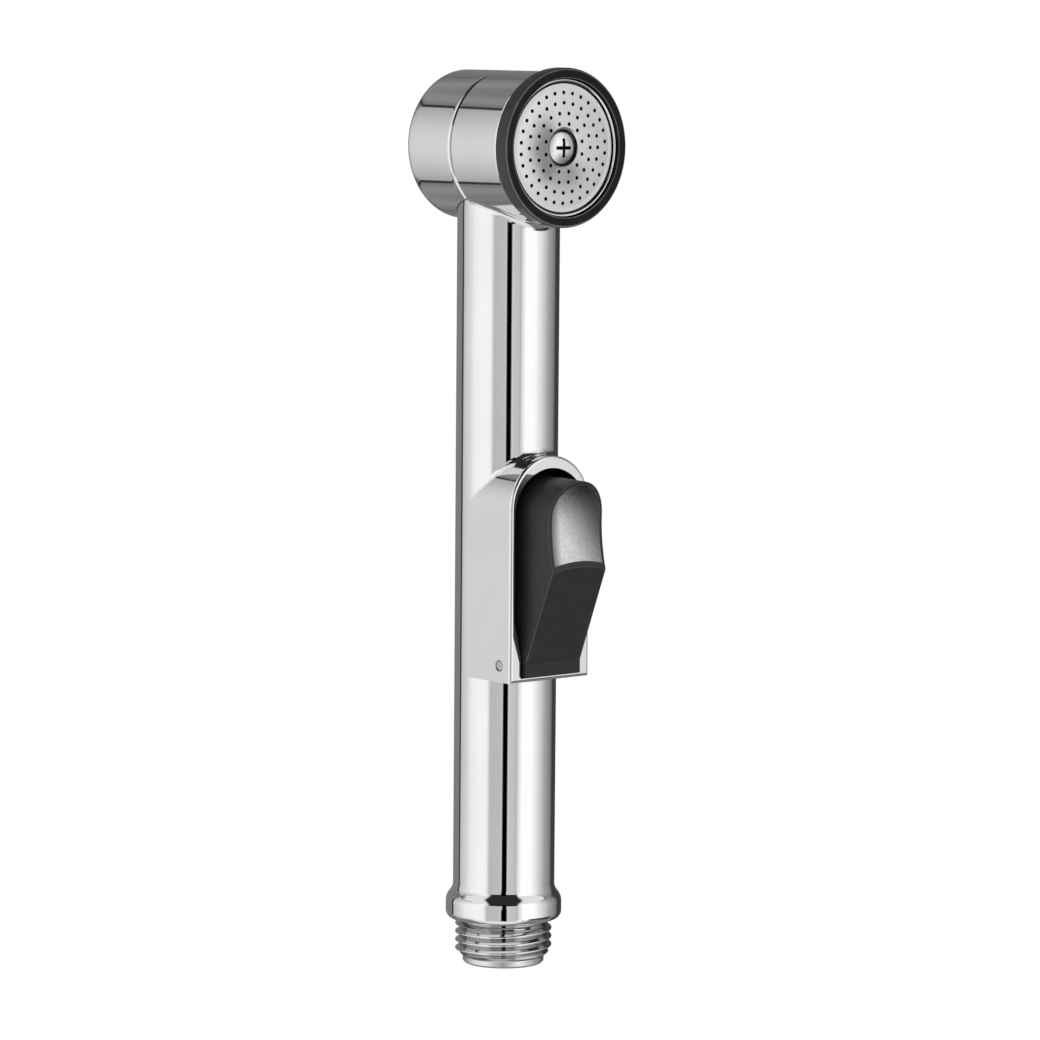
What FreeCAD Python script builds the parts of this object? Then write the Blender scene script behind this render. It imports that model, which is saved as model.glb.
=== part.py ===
"""Handheld bidet shower handset: chromed handle with a thumb lever, shut-off valve and spray head.

The handle is a round tube that stands along +Z, and the head is a short barrel across its top.
The spray plate and the lever look along -Y. The origin is the centre of the end face of the
hose thread, so the hose nut comes up from below. Distances called "forward" run along -Y from
the handle's axis. All lengths are millimetres.
"""

import FreeCAD
import Part

import math
import os

Vector = FreeCAD.Vector
RIGHT = Vector(1, 0, 0)
UP = Vector(0, 0, 1)
FORWARD = Vector(0, -1, 0)
FULL_TURN = 360.0

# Handle
handle_radius = 11.0
handle_wall = 2.2
lower_waterway_top = 55.0
upper_waterway_bottom = 115.0
collar_swell = 1.55
collar_foot_step = 0.1
collar_height = 7.7
collar_corner = 1.6
collar_band = 2.1

# Hose thread: half-inch pipe size, its crests at the stated radius
thread_radius = 10.4775
thread_length = 7.6
thread_chamfer = 1.3
thread_relief_radius = 9.2
thread_relief_length = 0.8
nose_radius = 8.8
nose_length = 1.4
nose_chamfer = 0.4
inlet_radius = 6.5
nipple_spigot_length = 9.0
nipple_spigot_clearance = 0.05
nipple_seat_wall = 1.7

# Lever housing: an arch as wide as the handle, standing in front of it
housing_bottom = 63.3
housing_height = 48.1
housing_stand_off = 3.75
housing_edge_round = 0.7
housing_blend = 1.5
rim_side = 1.0
rim_top = 2.6
rim_foot = 2.85
rim_floor = 0.9
foot_height = 5.4
foot_slope_height = 8.0
cavity_sink = 3.8

# Lever and its pin
lever_clearance = 0.3
lever_floor_gap = 0.25
lever_top_gap = 1.6
lever_draft = 0.5
lever_wall = 1.6
lever_foot_proud = 1.05
lever_foot_height = 3.0
lever_ridge_proud = 9.8
lever_ridge_height = 24.1
lever_rear_bottom_gap = 1.8
lever_rear_top_gap = 5.6
lever_hinge_block = 7.0
pad_dip = 1.2
pad_crown_radius = 41.0
pad_thickness = 0.8
pad_border = 0.8
pin_behind_rim = 3.7
pin_above_floor = 2.65
pin_radius = 1.25
pin_chamfer = 0.35
pin_running_clearance = 0.05
pin_recess = 0.15

# Shut-off valve, whose stem runs across the handle
valve_above_pin = 20.0
valve_bore_radius = 5.5
valve_bore_clearance = 0.05
gland_flange = 1.6
gland_across_flats = 10.0
gland_share = 0.15
cartridge_land = 0.6
o_ring_groove = 1.3
o_ring_groove_depth = 1.2
cartridge_waist_radius = 3.8
cartridge_chamber_radius = 2.6
cartridge_guide_length = 0.9
cartridge_port_radius = 1.0
cartridge_port_count = 4
spring_chamber_radius = 4.6
spring_chamber_share = 0.37
spring_chamber_wall = 2.0
stem_radius = 1.5
stem_clearance = 0.05
stem_button_radius = 2.3
stem_button_length = 1.2
stem_button_flat = 0.4
stem_travel_room = 2.7
stem_flange_radius = 3.8
stem_flange_length = 0.7
stem_spigot_radius = 1.0
stem_spigot_length = 0.9
plug_radius = 3.7
plug_length = 1.5
plug_gap = 0.05
spring_wire_radius = 0.3
spring_small_radius = 2.0
spring_side_gap = 0.6
spring_turns = 2.9
tappet_gap = 0.3
tappet_radius = 2.6
port_radius = 1.6
lower_port_radius = 2.5

# Head
head_axis_height = 176.7
head_radius = 16.0
head_forward = 15.4
head_back = 15.5
head_front_round = 1.2
head_blend = 1.8
seam_back = 0.3
seam_chamfer = 0.3
cap_wall = 1.4
cap_end_wall = 1.8
cap_crown = 0.25
cap_round = 1.4
cap_lip_round = 1.0
cap_clearance = 0.1
cap_handle_clearance = 0.1
chamber_wall = 3.1
chamber_back = 10.4
chamber_end_wall = 1.6
insert_bore_wall = 1.8
insert_bore_depth = 6.0

# Spray face
insert_clearance = 0.05
insert_wall = 1.2
insert_flange_start = 0.45
insert_flange_length = 0.7
insert_floor_start = 3.2
insert_floor = 1.5
insert_hole_count = 8
insert_hole_radius = 1.4
insert_hole_place = 0.6
insert_groove_start = 3.6
boss_radius = 3.0
bezel_stand_off = 0.85
bezel_width = 2.2
bezel_length = 3.4
bezel_round = 0.7
bezel_back_round = 0.4
trim_outer_clearance = 0.05
trim_width = 0.65
trim_height = 1.5
plate_edge_gap = 0.45
plate_rim = 0.9
plate_thickness = 0.6
plate_dome = 0.35
plate_hole_radius = 0.42
hole_counts = (12, 18, 24, 30)
first_hole_circle = 5.15
hole_circle_step = 2.16
turned_circles = 2
dimple_radius = 3.95
dimple_depth = 0.7
dimple_wall = 0.45
gasket_thickness = 0.45
screw_head_radius = 3.35
screw_head_height = 1.15
screw_shank_radius = 1.5
screw_length = 5.0
screw_cross_width = 0.75
screw_cross_length = 4.0
screw_cross_depth = 0.7

# Heights and places that follow from the sizes above
waterway_radius = handle_radius - handle_wall
body_seat_radius = handle_radius - nipple_seat_wall
collar_radius = handle_radius + collar_swell
collar_foot_radius = handle_radius - collar_foot_step
nipple_reach = nose_length + thread_length + thread_relief_length
collar_top = nipple_reach + collar_height
arch_top = housing_bottom + housing_height
housing_forward = handle_radius + housing_stand_off
cavity_back = handle_radius - cavity_sink
cavity_floor = housing_bottom + rim_floor
cavity_half_width = handle_radius - rim_side
cavity_foot_half_width = handle_radius - rim_foot
cavity_top = arch_top - rim_top
pin_height = cavity_floor + pin_above_floor
pin_forward = housing_forward - pin_behind_rim
valve_height = pin_height + valve_above_pin
gland_front = cavity_back + gland_flange
spring_chamber_back = spring_chamber_wall - handle_radius
valve_room = cavity_back - spring_chamber_back
cartridge_front = cavity_back - valve_room * gland_share
cartridge_back = spring_chamber_back + valve_room * spring_chamber_share
stem_front = gland_front + stem_travel_room + stem_button_length
waist_front = cartridge_front - 2 * cartridge_land - o_ring_groove
waist_back = cartridge_back + 2 * cartridge_land + o_ring_groove
port_forward = (waist_front + waist_back) / 2
plug_front = cartridge_back - plug_gap
plug_back = plug_front - plug_length
stem_flange_back = plug_back - stem_flange_length
lower_port_forward = cartridge_back - lower_port_radius - plug_length / 2
lever_bottom = cavity_floor + lever_floor_gap
lever_half_width = cavity_foot_half_width - lever_clearance
lever_top = cavity_top - lever_top_gap
lever_ridge_z = lever_bottom + lever_ridge_height
lever_foot_forward = housing_forward + lever_foot_proud
lever_ridge_forward = housing_forward + lever_ridge_proud
lever_rear_bottom = cavity_back + lever_rear_bottom_gap
lever_rear_top = cavity_back + lever_rear_top_gap
chamber_radius = head_radius - chamber_wall
insert_bore_radius = head_radius - insert_bore_wall
bezel_radius = head_radius + bezel_stand_off
insert_flange_radius = bezel_radius - bezel_width - trim_outer_clearance
plate_radius = insert_flange_radius - trim_width - plate_edge_gap
insert_flange_back = head_forward + insert_flange_start
insert_front = insert_flange_back + insert_flange_length
insert_back = head_forward - insert_bore_depth
insert_radius = insert_bore_radius - insert_clearance
plate_back = insert_front + gasket_thickness
bezel_front = head_forward + bezel_length


def rod(radius, start, end):
    """A round bar between two points."""
    way = end - start
    return Part.makeCylinder(radius, way.Length, start, way)


def block(low, high):
    """A box between its lowest and highest corner."""
    size = high - low
    return Part.makeBox(size.x, size.y, size.z, low)


def outline(*steps):
    """A closed flat face in local X and Z. A step of two numbers is a corner, and a step of
    four is an arc: a point that it passes, then its end."""
    edges = []
    here = Vector(steps[0][0], 0, steps[0][1])
    start = here
    for step in steps[1:] + (steps[0],):
        there = Vector(step[-2], 0, step[-1])
        if len(step) == 4:
            middle = Vector(step[0], 0, step[1])
            edges.append(Part.Arc(here, middle, there).toShape())
        elif (there - here).Length > 1e-6:
            edges.append(Part.LineSegment(here, there).toShape())
        here = there
    assert (here - start).Length < 1e-6
    return Part.Face(Part.Wire(edges))


def turned(*steps):
    """A solid turned about local Z from an outline of radius and height."""
    return outline(*steps).revolve(Vector(0, 0, 0), UP, FULL_TURN)


def facing(shape, height):
    """Lays a shape that was turned about Z along the forward way, at a height on the handle."""
    shape.rotate(Vector(0, 0, 0), RIGHT, 90)
    shape.translate(Vector(0, 0, height))
    return shape


def at_head(shape):
    return facing(shape, head_axis_height)


def at_valve(shape):
    return facing(shape, valve_height)


def o_ring(inner, outer, middle):
    """A rubber ring about local Z between two radii, centred at a height."""
    section = (outer - inner) / 2
    return Part.makeTorus(inner + section, section, Vector(0, 0, middle), UP)


def door(half_width, bottom, top, forward):
    """A wire in the plane at a forward distance: straight sides under a round arch."""
    spring = top - half_width
    corners = [
        Vector(-half_width, -forward, bottom),
        Vector(half_width, -forward, bottom),
        Vector(half_width, -forward, spring),
        Vector(-half_width, -forward, spring),
    ]
    crown = Vector(0, -forward, top)
    return Part.Wire([
        Part.LineSegment(corners[0], corners[1]).toShape(),
        Part.LineSegment(corners[1], corners[2]).toShape(),
        Part.Arc(corners[2], crown, corners[3]).toShape(),
        Part.LineSegment(corners[3], corners[0]).toShape(),
    ])


def door_block(half_width, bottom, top, back, front):
    """The door outline carried forward from one distance to another."""
    return Part.Face(door(half_width, bottom, top, back)).extrude(FORWARD * (front - back))


def side_block(points, half_width):
    """A solid with the given outline of forward distance and height, seen from the side."""
    corners = [Vector(-half_width, -forward, height) for forward, height in points]
    face = Part.Face(Part.makePolygon(corners + corners[:1]))
    return face.extrude(RIGHT * 2 * half_width)


def edges_of(shape, wanted):
    """The edges whose middle point passes a test."""
    found = []
    for edge in shape.Edges:
        middle = edge.valueAt((edge.FirstParameter + edge.LastParameter) / 2)
        if wanted(middle, edge):
            found.append(edge)
    return found


def handle_and_collar():
    """The round handle, flared at its foot into a rounded collar over the hose thread."""
    band_bottom = nipple_reach + collar_corner
    shoulder = band_bottom + collar_band
    lower = collar_radius - collar_foot_radius
    upper = collar_radius - handle_radius
    rise = collar_top - shoulder
    radius = (rise ** 2 + upper ** 2) / (4 * upper)
    half_turn = math.asin(rise / 2 / radius) / 2
    out = radius * (1 - math.cos(half_turn))
    up = radius * math.sin(half_turn)
    return turned(
        (0, nipple_reach),
        (collar_foot_radius, nipple_reach),
        (
            collar_foot_radius + lower * math.sqrt(0.5),
            band_bottom - collar_corner * math.sqrt(0.5),
            collar_radius,
            band_bottom,
        ),
        (collar_radius, shoulder),
        (collar_radius - out, shoulder + up, collar_radius - upper / 2, shoulder + rise / 2),
        (handle_radius + out, collar_top - up, handle_radius, collar_top),
        (handle_radius, head_axis_height),
        (0, head_axis_height),
    )


def lever_housing():
    """The arch that carries the lever, with softened front edges, before it is hollowed."""
    shell = door_block(handle_radius, housing_bottom, arch_top, 0, housing_forward)

    def on_front(middle, edge):
        return abs(middle.y + housing_forward) < 1e-3

    return shell.makeFillet(housing_edge_round, edges_of(shell, on_front))


def lever_cavity():
    """The space behind the lever: wide above, and narrow at the foot where the pin is held."""
    foot_top = housing_bottom + foot_height
    wide_bottom = foot_top + foot_slope_height
    wide = cavity_half_width
    foot = cavity_foot_half_width
    arch = cavity_top - wide
    face = outline(
        (-foot, cavity_floor),
        (foot, cavity_floor),
        (foot, foot_top),
        (wide, wide_bottom),
        (wide, arch),
        (0, cavity_top, -wide, arch),
        (-wide, wide_bottom),
        (-foot, foot_top),
    )
    face.translate(FORWARD * cavity_back)
    return face.extrude(FORWARD * (housing_forward - cavity_back + 1))


def head_barrel():
    """The whole barrel across the top of the handle, before its back is cut down."""
    corner = head_front_round * (1 - math.sqrt(0.5))
    return at_head(turned(
        (0, -head_back),
        (head_radius, -head_back),
        (head_radius, head_forward - head_front_round),
        (
            head_radius - corner,
            head_forward - corner,
            head_radius - head_front_round,
            head_forward,
        ),
        (0, head_forward),
    ))


def room_for_cap():
    """What is cut off the barrel behind the seam, which leaves the spigot that the cap covers
    and the round back of the handle."""
    spigot_radius = head_radius - cap_wall - cap_clearance
    spigot_back = chamber_back + chamber_end_wall
    far = 2 * head_radius
    seam_front = -seam_back + seam_chamfer
    room = at_head(turned(
        (0, -far),
        (far, -far),
        (far, seam_front),
        (head_radius, seam_front),
        (head_radius - seam_chamfer, -seam_back),
        (spigot_radius, -seam_back),
        (spigot_radius, -spigot_back),
        (0, -spigot_back),
    ))
    return room.cut(rod(handle_radius, Vector(0, 0, 0), Vector(0, 0, head_axis_height)))


def blended(body, radius, low, high):
    """The body with a cove of the radius where something grows out of the round handle
    between two heights."""
    def on_handle(middle, edge):
        reach = math.hypot(middle.x, middle.y)
        box = edge.BoundBox
        winds = min(box.ZLength, max(box.XLength, box.YLength)) > handle_radius / 4
        return winds and abs(reach - handle_radius) < 1e-3 and low < middle.z < high

    return body.makeFillet(radius, edges_of(body, on_handle))


def body_waterways():
    """The drilled and cored ways for the water, and the bores for the valve and the inserts."""
    bore_top = nipple_reach + nipple_spigot_length
    down = valve_height + valve_bore_radius
    cuts = [
        rod(body_seat_radius, Vector(0, 0, nipple_reach - 1), Vector(0, 0, bore_top)),
        rod(waterway_radius, Vector(0, 0, bore_top - 1), Vector(0, 0, lower_waterway_top)),
        rod(
            lower_port_radius,
            Vector(0, -lower_port_forward, lower_waterway_top - 1),
            Vector(0, -lower_port_forward, valve_height),
        ),
        rod(
            port_radius,
            Vector(0, -port_forward, down - 2),
            Vector(0, -port_forward, upper_waterway_bottom + 1),
        ),
        rod(
            waterway_radius,
            Vector(0, 0, upper_waterway_bottom),
            Vector(0, 0, head_axis_height),
        ),
        at_valve(rod(
            valve_bore_radius,
            Vector(0, 0, cartridge_back),
            Vector(0, 0, cavity_back + 1),
        )),
        at_valve(rod(
            spring_chamber_radius,
            Vector(0, 0, spring_chamber_back),
            Vector(0, 0, cartridge_back + 1),
        )),
        at_head(rod(
            chamber_radius,
            Vector(0, 0, -chamber_back),
            Vector(0, 0, head_forward),
        )),
        at_head(rod(
            insert_bore_radius,
            Vector(0, 0, insert_back),
            Vector(0, 0, head_forward + 1),
        )),
    ]
    return cuts


def pin_hole(radius, reach):
    return rod(
        radius,
        Vector(-reach, -pin_forward, pin_height),
        Vector(reach, -pin_forward, pin_height),
    )


def handle_body():
    """One casting: handle, collar, lever housing and the head's barrel."""
    body = handle_and_collar().fuse(lever_housing()).removeSplitter()
    body = blended(body, housing_blend, arch_top - handle_radius, arch_top + 1)
    body = body.fuse(head_barrel()).removeSplitter()
    body = blended(body, head_blend, head_axis_height - head_radius - 1, head_axis_height)
    cuts = body_waterways()
    cuts.append(room_for_cap())
    cuts.append(lever_cavity())
    cuts.append(pin_hole(pin_radius, handle_radius + 1))
    for cut in cuts:
        body = body.cut(cut)
    return body


def rear_cap():
    """A crowned cup over the back of the barrel, notched where the handle passes."""
    outer = head_radius
    inner = head_radius - cap_wall
    floor = head_back - cap_end_wall
    edge = outer - cap_crown
    middle = (seam_back + cap_lip_round + head_back - cap_round) / 2
    corner = cap_round * (1 - math.sqrt(0.5))
    lip = seam_back + cap_lip_round
    lip_corner = cap_lip_round * (1 - math.sqrt(0.5))
    cap = turned(
        (inner, -seam_back),
        (edge - cap_lip_round, -seam_back),
        (edge - lip_corner, -(seam_back + lip_corner), edge, -lip),
        (outer, -middle, edge, -(head_back - cap_round)),
        (edge - corner, -(head_back - corner), edge - cap_round, -head_back),
        (0, -head_back),
        (0, -floor),
        (inner, -floor),
    )
    notch = rod(
        handle_radius + cap_handle_clearance,
        Vector(0, 0, -2 * head_radius),
        Vector(0, 0, 0),
    )
    notch.translate(UP * head_axis_height)
    return at_head(cap).cut(notch)


def inlet_nipple():
    """The brass nipple: a plain nose, the hose thread at its crests, and a spigot in the handle."""
    spigot = body_seat_radius - nipple_spigot_clearance
    top = nipple_reach + nipple_spigot_length
    ring_low = nipple_reach + nipple_spigot_length / 2 - o_ring_groove / 2
    thread_top = nose_length + thread_length
    return turned(
        (inlet_radius, 0),
        (nose_radius - nose_chamfer, 0),
        (nose_radius, nose_chamfer),
        (nose_radius, nose_length),
        (thread_radius - thread_chamfer, nose_length),
        (thread_radius, nose_length + thread_chamfer),
        (thread_radius, thread_top),
        (thread_relief_radius, thread_top),
        (thread_relief_radius, nipple_reach),
        (spigot, nipple_reach),
        (spigot, ring_low),
        (spigot - o_ring_groove_depth, ring_low),
        (spigot - o_ring_groove_depth, ring_low + o_ring_groove),
        (spigot, ring_low + o_ring_groove),
        (spigot, top),
        (inlet_radius, top),
    )


def nipple_o_ring():
    inner = body_seat_radius - nipple_spigot_clearance - o_ring_groove_depth
    return o_ring(inner, body_seat_radius, nipple_reach + nipple_spigot_length / 2)


def gland_nut():
    """The hexagon nut that closes the valve bore, with the stem passing through it."""
    corner = gland_across_flats / math.sqrt(3)
    points = []
    for side in range(6):
        angle = math.radians(60 * side)
        points.append(Vector(corner * math.cos(angle), corner * math.sin(angle), cavity_back))
    hexagon = Part.Face(Part.makePolygon(points + points[:1])).extrude(UP * gland_flange)
    dish = turned(
        (0, cavity_back),
        (corner, cavity_back),
        (corner, gland_front - gland_flange / 4),
        (corner - gland_flange / 4, gland_front),
        (0, gland_front),
    )
    spigot = rod(
        valve_bore_radius - valve_bore_clearance,
        Vector(0, 0, cartridge_front),
        Vector(0, 0, cavity_back),
    )
    hole = rod(
        stem_radius + stem_clearance,
        Vector(0, 0, cartridge_front - 1),
        Vector(0, 0, gland_front + 1),
    )
    return at_valve(hexagon.common(dish).fuse(spigot).cut(hole))


def valve_cartridge():
    """The turned brass cartridge: two ring grooves, a ported waist, and the seat at its back."""
    outer = valve_bore_radius - valve_bore_clearance
    groove = outer - o_ring_groove_depth
    guide_front = cartridge_front - o_ring_groove
    guide_back = guide_front - cartridge_guide_length
    packing = stem_radius + stem_clearance + o_ring_groove
    body = turned(
        (packing, cartridge_front),
        (outer, cartridge_front),
        (outer, cartridge_front - cartridge_land),
        (groove, cartridge_front - cartridge_land),
        (groove, waist_front + cartridge_land),
        (outer, waist_front + cartridge_land),
        (outer, waist_front),
        (cartridge_waist_radius, waist_front),
        (cartridge_waist_radius, waist_back),
        (outer, waist_back),
        (outer, waist_back - cartridge_land),
        (groove, waist_back - cartridge_land),
        (groove, cartridge_back + cartridge_land),
        (outer, cartridge_back + cartridge_land),
        (outer, cartridge_back),
        (cartridge_chamber_radius, cartridge_back),
        (cartridge_chamber_radius, guide_back),
        (stem_radius + stem_clearance, guide_back),
        (stem_radius + stem_clearance, guide_front),
        (packing, guide_front),
    )
    for port in range(cartridge_port_count):
        angle = math.radians(FULL_TURN / cartridge_port_count * port)
        way = Vector(math.cos(angle), math.sin(angle), 0)
        foot = Vector(0, 0, port_forward)
        body = body.cut(rod(cartridge_port_radius, foot + way * stem_radius, foot + way * outer))
    return at_valve(body)


def cartridge_o_ring(middle):
    outer = valve_bore_radius
    inner = outer - valve_bore_clearance - o_ring_groove_depth
    return at_valve(o_ring(inner, outer, middle))


def stem_o_ring():
    inner = stem_radius + stem_clearance
    return at_valve(o_ring(inner, inner + o_ring_groove, cartridge_front - o_ring_groove / 2))


def valve_stem():
    """The stem from its domed button behind the lever to the flange behind the rubber plug."""
    neck = stem_front - stem_button_length
    dome = stem_button_length / 3
    return at_valve(turned(
        (0, stem_flange_back - stem_spigot_length),
        (stem_spigot_radius, stem_flange_back - stem_spigot_length),
        (stem_spigot_radius, stem_flange_back),
        (stem_flange_radius, stem_flange_back),
        (stem_flange_radius, plug_back),
        (stem_radius, plug_back),
        (stem_radius, neck),
        (stem_button_radius, neck),
        (stem_button_radius, stem_front - dome),
        (stem_button_radius * 0.6, stem_front - dome * 0.3, stem_button_flat, stem_front),
        (0, stem_front),
    ))


def valve_plug():
    """The rubber washer that closes on the cartridge's seat."""
    return at_valve(turned(
        (stem_radius, plug_back),
        (plug_radius, plug_back),
        (plug_radius, plug_front),
        (stem_radius, plug_front),
    ))


def valve_spring():
    """A conical coil spring behind the stem's flange, wide end on the chamber's back."""
    small = spring_small_radius
    large = spring_chamber_radius - spring_side_gap - spring_wire_radius
    front = stem_flange_back - spring_wire_radius
    back = spring_chamber_back + spring_wire_radius
    height = front - back
    angle = math.degrees(math.atan2(large - small, height))
    coil = Part.makeHelix(height / spring_turns, height, small, angle)
    section = Part.Wire(Part.makeCircle(spring_wire_radius, Vector(small, 0, 0), Vector(0, 1, 0)))
    spring = Part.Wire(coil).makePipeShell([section], True, True)
    spring.rotate(Vector(0, 0, 0), RIGHT, 180)
    spring.translate(UP * front)
    return at_valve(spring)


def thumb_hollow(shift):
    """A cutter for the thumb face: hollow along the lever and crowned across it. The shift
    sinks it into the lever."""
    half = lever_half_width + 2
    half_height = (lever_top - lever_ridge_z) / 2
    middle = (lever_top + lever_ridge_z) / 2
    deepest = lever_ridge_forward - pad_dip - shift
    radius = (half_height ** 2 + pad_dip ** 2) / (2 * pad_dip)
    fall = pad_crown_radius - math.sqrt(pad_crown_radius ** 2 - half ** 2)
    far = deepest + radius / 2
    corners = [
        Vector(-half, -(deepest - fall), middle),
        Vector(0, -deepest, middle),
        Vector(half, -(deepest - fall), middle),
        Vector(half, -far, middle),
        Vector(-half, -far, middle),
    ]
    face = Part.Face(Part.Wire([
        Part.Arc(corners[0], corners[1], corners[2]).toShape(),
        Part.LineSegment(corners[2], corners[3]).toShape(),
        Part.LineSegment(corners[3], corners[4]).toShape(),
        Part.LineSegment(corners[4], corners[0]).toShape(),
    ]))
    centre = Vector(0, -(deepest + radius), middle)
    swing = math.degrees(math.asin(half_height / radius)) * 2
    face.rotate(centre, RIGHT, -swing)
    return face.revolve(centre, RIGHT, 2 * swing)


def lever_form(inset, back_shift):
    """The lever's outer form: a drafted arch cut to its side outline. The inset draws its
    sides in, and the back shift carries its front faces inward."""
    front = lever_ridge_forward + 1
    half = lever_half_width - inset
    loft = Part.makeLoft([
        door(half, lever_bottom - 1, lever_top - inset, cavity_back),
        door(half - lever_draft, lever_bottom - 1, lever_top - inset - lever_draft, front),
    ], True, True)
    side = side_block([
        (lever_rear_bottom, lever_bottom),
        (lever_foot_forward - back_shift, lever_bottom),
        (lever_foot_forward - back_shift, lever_bottom + lever_foot_height),
        (lever_ridge_forward - back_shift, lever_ridge_z),
        (lever_ridge_forward - back_shift, lever_top + 1),
        (lever_rear_top, lever_top + 1),
    ], lever_half_width + 1)
    return loft.common(side).cut(thumb_hollow(back_shift))


def pad_zone():
    """The field of the thumb pad: an arch inside the lever's border, down to the ridge."""
    front = lever_ridge_forward + 1
    arch = door_block(
        lever_half_width - lever_draft - pad_border,
        lever_bottom,
        lever_top - lever_draft - pad_border,
        cavity_back,
        front,
    )
    foot = lever_bottom + lever_foot_height
    grade = (lever_ridge_z - foot) / (lever_ridge_forward - lever_foot_forward)
    low = foot + pad_border * grade
    above_slope = side_block([
        (lever_foot_forward, low),
        (front, low + grade * (front - lever_foot_forward)),
        (front, lever_top),
        (lever_foot_forward, lever_top),
    ], lever_half_width)
    return arch.common(above_slope)


def thumb_pad():
    """A thin satin inlay that follows the hollow of the thumb face."""
    layer = lever_form(0, 0).common(thumb_hollow(pad_thickness))
    return layer.common(pad_zone())


def lever():
    """The moulded lever: a shell with a tappet over the stem and a solid hinge block."""
    form = lever_form(0, 0)
    hollow = lever_form(lever_wall, lever_wall + pad_thickness)
    above_hinge = block(
        Vector(-lever_half_width, -lever_ridge_forward, lever_bottom + lever_hinge_block),
        Vector(lever_half_width, -cavity_back, lever_top),
    )
    tappet = at_valve(rod(
        tappet_radius,
        Vector(0, 0, stem_front + tappet_gap),
        Vector(0, 0, lever_ridge_forward - lever_wall),
    ))
    shell = form.cut(hollow.common(above_hinge))
    shell = shell.fuse(tappet.common(form))
    shell = shell.cut(pin_hole(pin_radius + pin_running_clearance, handle_radius))
    return shell.cut(pad_zone().common(thumb_hollow(pad_thickness)))


def pivot_pin():
    """A dowel pin with chamfered ends, pressed through both cheeks of the housing."""
    reach = handle_radius - pin_recess
    pin = pin_hole(pin_radius, reach)
    ends = edges_of(pin, lambda middle, edge: abs(abs(middle.x) - reach) < 1e-3)
    return pin.makeChamfer(pin_chamfer, ends)


def water_distributor():
    """The insert in the barrel: a cup with a pierced floor and a boss for the centre screw."""
    inner = insert_radius - insert_wall
    floor_back = insert_back + insert_floor_start
    floor_front = floor_back + insert_floor
    groove = insert_back + insert_groove_start
    cup = turned(
        (inner, insert_back),
        (insert_radius, insert_back),
        (insert_radius, groove - o_ring_groove),
        (insert_radius - insert_wall / 2, groove - o_ring_groove),
        (insert_radius - insert_wall / 2, groove),
        (insert_radius, groove),
        (insert_radius, insert_flange_back),
        (insert_flange_radius, insert_flange_back),
        (insert_flange_radius, insert_front),
        (inner, insert_front),
        (inner, floor_front),
        (boss_radius, floor_front),
        (boss_radius, plate_back - dimple_depth),
        (screw_shank_radius, plate_back - dimple_depth),
        (screw_shank_radius, floor_back),
        (inner, floor_back),
    )
    for hole in range(insert_hole_count):
        angle = math.radians(FULL_TURN / insert_hole_count * hole)
        x = insert_radius * insert_hole_place * math.cos(angle)
        y = insert_radius * insert_hole_place * math.sin(angle)
        cup = cup.cut(rod(
            insert_hole_radius,
            Vector(x, y, floor_back - 1),
            Vector(x, y, floor_front + 1),
        ))
    return at_head(cup)


def insert_o_ring():
    section = (insert_bore_radius - insert_radius + insert_wall / 2) / 2
    middle = insert_back + insert_groove_start - o_ring_groove / 2
    ring = Part.makeTorus(insert_bore_radius - section, section, Vector(0, 0, middle), UP)
    return at_head(ring)


def bezel_ring():
    """The black ring round the spray face, rounded at its edges."""
    outer = bezel_radius
    corner = bezel_round * (1 - math.sqrt(0.5))
    back_corner = bezel_back_round * (1 - math.sqrt(0.5))
    flange = insert_flange_radius + trim_outer_clearance
    return at_head(turned(
        (insert_radius, head_forward),
        (outer - bezel_back_round, head_forward),
        (
            outer - back_corner,
            head_forward + back_corner,
            outer,
            head_forward + bezel_back_round,
        ),
        (outer, bezel_front - bezel_round),
        (outer - corner, bezel_front - corner, outer - bezel_round, bezel_front),
        (flange, bezel_front),
        (flange, insert_flange_back),
        (insert_radius, insert_flange_back),
    ))


def trim_ring():
    """The narrow bright ring inside the black ring, half round in front."""
    outer = insert_flange_radius
    inner = outer - trim_width
    side = insert_front + trim_height - trim_width / 2
    return at_head(turned(
        (inner, insert_front),
        (outer, insert_front),
        (outer, side),
        (outer - trim_width / 2, insert_front + trim_height, inner, side),
    ))


def plate_gasket():
    return at_head(turned(
        (plate_radius - plate_rim, insert_front),
        (plate_radius, insert_front),
        (plate_radius, plate_back),
        (plate_radius - plate_rim, plate_back),
    ))


def spray_plate():
    """The pierced steel plate, slightly domed, with a dimple that takes the screw's head."""
    edge = plate_radius
    rim = plate_radius - plate_rim
    front = plate_back + plate_thickness
    crown = front + plate_dome
    dimple_floor = plate_back - dimple_depth + dimple_wall
    mouth = dimple_radius + dimple_wall
    halfway = (rim + mouth) / 2
    bow = plate_dome * 0.75
    plate = turned(
        (screw_shank_radius, plate_back - dimple_depth),
        (dimple_radius, plate_back - dimple_depth),
        (mouth, plate_back - dimple_depth + dimple_wall),
        (mouth, plate_back + plate_dome),
        (halfway, plate_back + bow, rim, plate_back),
        (edge, plate_back),
        (edge, front),
        (rim, front),
        (halfway, front + bow, mouth, crown),
        (dimple_radius, crown - dimple_wall / 2),
        (dimple_radius, dimple_floor),
        (screw_shank_radius, dimple_floor),
    )
    drills = []
    for circle, count in enumerate(hole_counts):
        radius = first_hole_circle + circle * hole_circle_step
        lead = 0.5 if circle < turned_circles else 0.0
        for hole in range(count):
            angle = math.radians(FULL_TURN / count * (hole + lead))
            x = radius * math.sin(angle)
            y = radius * math.cos(angle)
            drills.append(rod(
                plate_hole_radius,
                Vector(x, y, plate_back - 1),
                Vector(x, y, crown + 1),
            ))
    return at_head(plate.cut(Part.makeCompound(drills)))


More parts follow.
